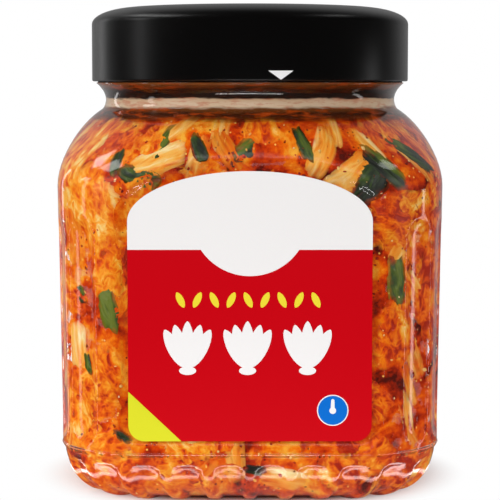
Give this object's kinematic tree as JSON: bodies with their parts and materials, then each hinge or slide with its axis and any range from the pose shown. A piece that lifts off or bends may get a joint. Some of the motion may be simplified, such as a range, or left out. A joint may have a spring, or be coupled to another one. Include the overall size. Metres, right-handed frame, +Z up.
{
  "type": "kimchi jar",
  "caption": "Clear square-bodied plastic jar of cut cabbage kimchi with a round black screw lid, fluted corners and an arched front label.",
  "frame": {"origin": "middle of the foot, on the surface that the jar stands on", "axes": "+Z up through the lid, -Y out of the labelled front, +X to the right as seen from the front"},
  "size_m": [0.13, 0.1294, 0.1653],
  "materials": {
    "clear_plastic": "clear glossy PET, blow moulded",
    "black_plastic": "smooth glossy black",
    "label_film": "satin printed film, red under a white arch",
    "kimchi": "wet cut cabbage in red pepper sauce"
  },
  "bodies": {
    "root": {"jar": "clear_plastic", "neck": "clear_plastic", "lid": "black_plastic", "label": "label_film", "kimchi": "kimchi"}
  },
  "joints": []
}
